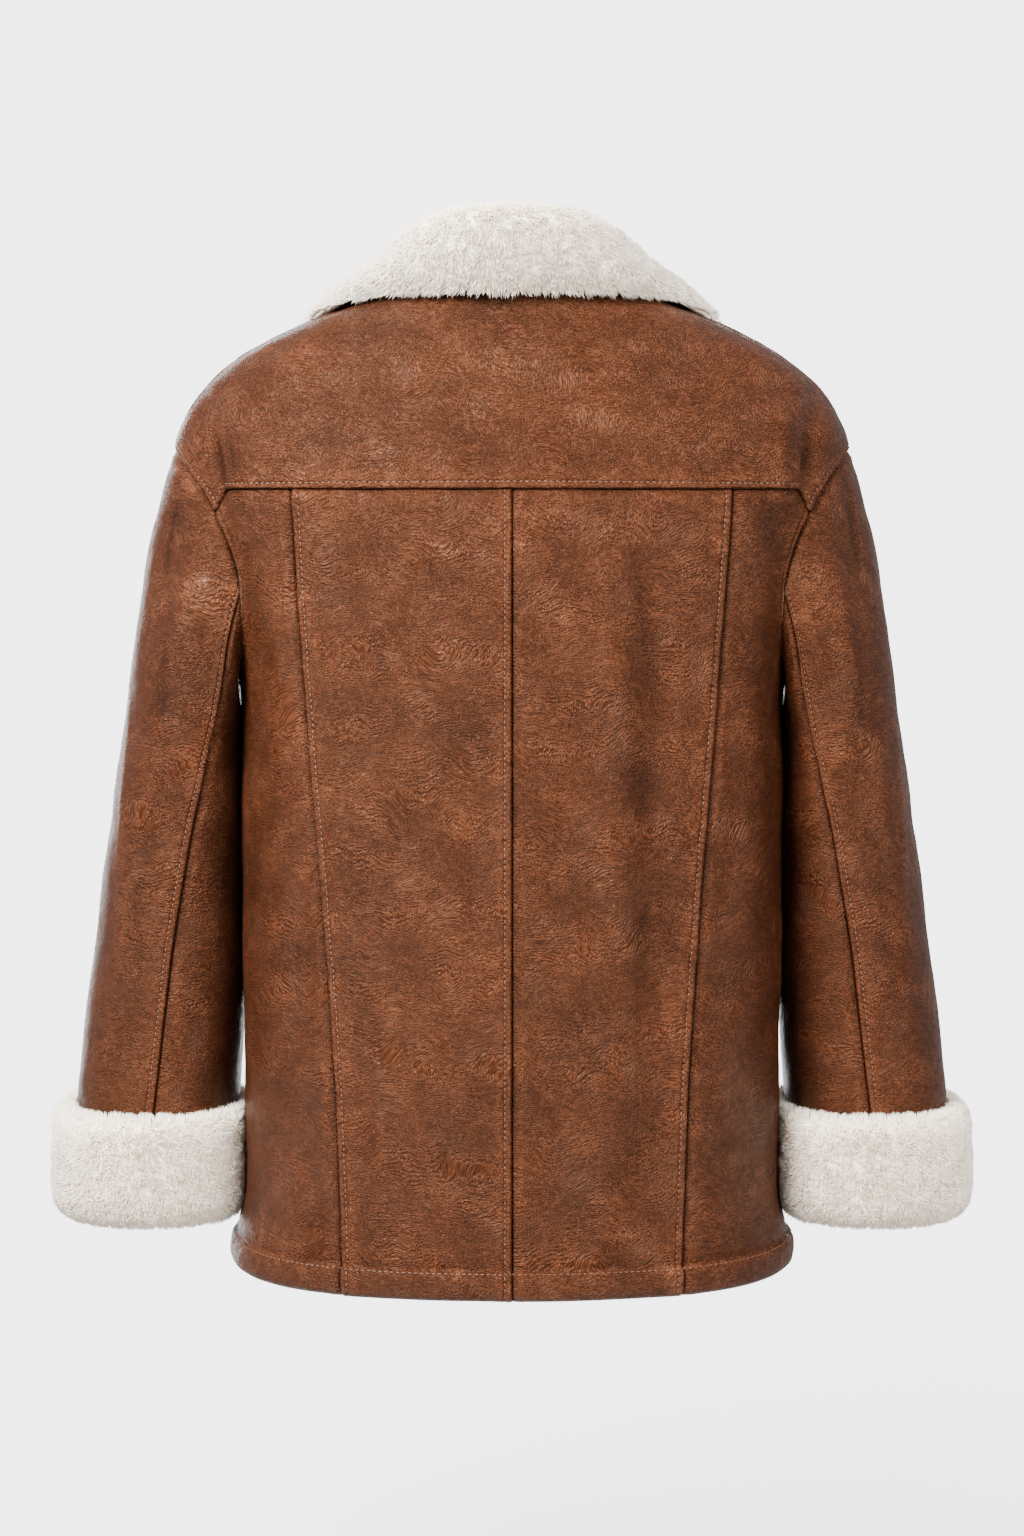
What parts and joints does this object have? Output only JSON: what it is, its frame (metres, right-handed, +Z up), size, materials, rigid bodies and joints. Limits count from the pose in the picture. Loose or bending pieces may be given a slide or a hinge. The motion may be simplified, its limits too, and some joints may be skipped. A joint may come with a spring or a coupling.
{
  "type": "shearling jacket",
  "caption": "Hip-length shearling jacket in its worn, hollow form: leather side out, wide wool collar, turned-back wool cuffs, back yoke and buttoned front.",
  "frame": {"origin": "middle of the neck opening, 14 mm above its two side points, where the wearer's neck and shoulders carry the jacket", "axes": "the wearer faces -Y, +X is the wearer's left, +Z is up"},
  "size_m": [0.7206, 0.3184, 0.8008],
  "materials": {
    "brown_leather": "brown aniline-dyed sheepskin, grained, satin",
    "cream_wool": "cream sheared wool pile",
    "dark_horn": "dark horn, polished"
  },
  "bodies": {
    "root": {"back_yoke": "brown_leather", "back_centre_left": "brown_leather", "back_centre_right": "brown_leather", "back_side_left": "brown_leather", "back_side_right": "brown_leather", "front_left": "brown_leather", "front_right": "brown_leather", "sleeve_upper_left": "brown_leather", "sleeve_upper_right": "brown_leather", "sleeve_under_left": "brown_leather", "sleeve_under_right": "brown_leather", "cuff_left": "cream_wool", "cuff_right": "cream_wool", "collar": "cream_wool", "button_1": "dark_horn", "button_2": "dark_horn", "button_3": "dark_horn", "button_4": "dark_horn"}
  },
  "joints": []
}
